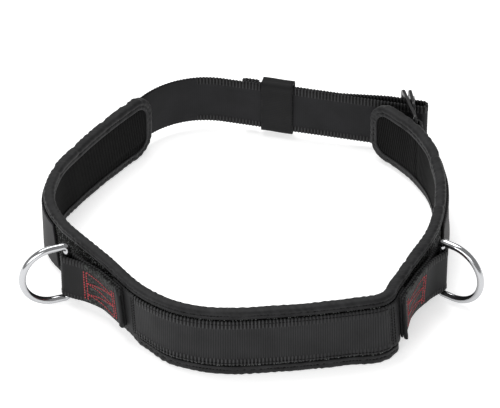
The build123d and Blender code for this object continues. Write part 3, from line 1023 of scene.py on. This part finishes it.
anchor_stitches()

# %% [markdown]
# ## Keeper
# The keeper is a loose band of smooth tape round the strap and its tail. It is a closed loop,
# cut flat as one grid whose length wraps round the strap, and its outer face is a little uneven.

# %% Keeper
free_x, free_y, free_heading = waist_line(to_pad_end + front_bend[0])
keeper_first = 33.5 * mm
keeper_width = 27 * mm
keeper_depth = 9.0 * mm
keeper_above = 2.0 * mm
keeper_below = 1.5 * mm
keeper_wall = 1.5 * mm
keeper_corner = 2.5
keeper_near = -web_thick / 2 - 0.6 * mm


def on_front(along, side, height):
    """A point beside the strap's straight front run, a distance along it from its start."""
    heading = radians(free_heading)
    return Vector((free_x + along * cos(heading) - side * sin(heading),
                   free_y + along * sin(heading) + side * cos(heading), height))


def keeper():
    inner = web_width + keeper_above + keeper_below
    short_side = straight((keeper_depth - 2 * keeper_corner * mm) / mm)
    long_side = straight((inner - 2 * keeper_corner * mm) / mm)
    corner = bend(keeper_corner, 90)
    around = 2 * [short_side, corner, long_side, corner]
    loop = line_of((keeper_corner * mm, 0.0, 0.0), around)
    girth = sum(piece[0] for piece in around)
    bm = flat_piece(girth, keeper_width, 120, 14, thickness=keeper_wall)

    def place(u, v, z):
        lift = z + keeper_wall / 2
        if z > 0:
            lift += 0.35 * mm * noise.noise(Vector((u / (9 * mm), v / (14 * mm), 2.0)))
        across, up = beside(loop(u % girth), lift)
        return on_front(keeper_first + v, keeper_near + across, web_low - keeper_below + up)

    lay(bm, place)
    bmesh.ops.remove_doubles(bm, verts=bm.verts, dist=join_gap)
    finish_piece("keeper_loop", bm, keeper_tape, "keeper", ("keeper_band",))
    bm = bmesh.new()
    face_side = keeper_near + keeper_depth + keeper_wall + 0.1 * mm
    for column in (11 * mm, 14 * mm):
        stitch_row(bm, (column, 4 * mm), (column, web_width - 4 * mm), face_side)
    lay(bm, lambda u, v, z: on_front(keeper_first + u, z, web_low + v))
    finish_piece("keeper_stitches", bm, black_thread, "keeper",
                 ("keeper_thread",))


# Colours: the middle, painted shade between the edge ribs, painted highlight on them.
keeper_tape = webbing("black_elastic_tape", "#111112", "#0c0c0c", "#222223", keeper_width,
                      0.2, band=0.6 * mm, fine=0.2)
keeper()

# %% [markdown]
# ## Floor and light
# The belt stands on a pale floor that glows a little, so that it stays white between the soft
# shadows. One large soft light hangs above and behind it and one stands in front on the left.

# %% Studio
floor_half = 6.0
bm = bmesh.new()
bmesh.ops.create_grid(bm, x_segments=1, y_segments=1, size=floor_half)
floor_mesh = bpy.data.meshes.new("studio_floor")
bm.to_mesh(floor_mesh)
bm.free()
floor = bpy.data.objects.new("studio_floor", floor_mesh)
bpy.context.collection.objects.link(floor)
floor_paint = new_material("white_paper_floor", Roughness=0.9, Base_Color=linear("#e8e8e8"),
                           Emission_Color=linear("#ffffff"), Emission_Strength=0.56,
                           Specular_IOR_Level=0.1)[0]
floor_mesh.materials.append(floor_paint)

world = bpy.data.worlds.new("studio")
world.use_nodes = True
background = world.node_tree.nodes["Background"]
background.inputs["Color"].default_value = linear("#ffffff")
background.inputs["Strength"].default_value = 0.36
bpy.context.scene.world = world


def soft_light(name, place, size, watts):
    """A rectangular light that faces the middle of the belt."""
    lamp = bpy.data.lights.new(name, "AREA")
    lamp.energy = watts
    lamp.shape = "RECTANGLE"
    lamp.size, lamp.size_y = size
    holder = bpy.data.objects.new(name, lamp)
    holder.location = place
    aim = Vector((0.0, 0.0, 0.03)) - Vector(place)
    holder.rotation_euler = aim.to_track_quat("-Z", "Y").to_euler()
    bpy.context.collection.objects.link(holder)


soft_light("top_light", (-0.3, 0.5, 1.6), (1.4, 1.0), 22)
soft_light("front_light", (-0.7, -1.5, 0.8), (1.6, 0.8), 15)

# %% [markdown]
# ## Camera
# The camera looks down on the belt from in front, through a long lens, so the near and the far
# side of the loop stay close to the same scale.

# %% Camera
camera_distance = 3.0
camera_rise = radians(38)
camera_target = Vector((-2.5 * mm, 55 * mm, 0.0))
camera_data = bpy.data.cameras.new("camera")
camera_data.sensor_width = 36.0
camera_data.lens = 259.2
camera = bpy.data.objects.new("camera", camera_data)
towards_camera = Vector((0.0, -cos(camera_rise), sin(camera_rise)))
camera.location = camera_target + camera_distance * towards_camera
camera.rotation_euler = (pi / 2 - camera_rise, 0.0, 0.0)
bpy.context.collection.objects.link(camera)
bpy.context.scene.camera = camera
bpy.context.scene.view_settings.view_transform = "Standard"
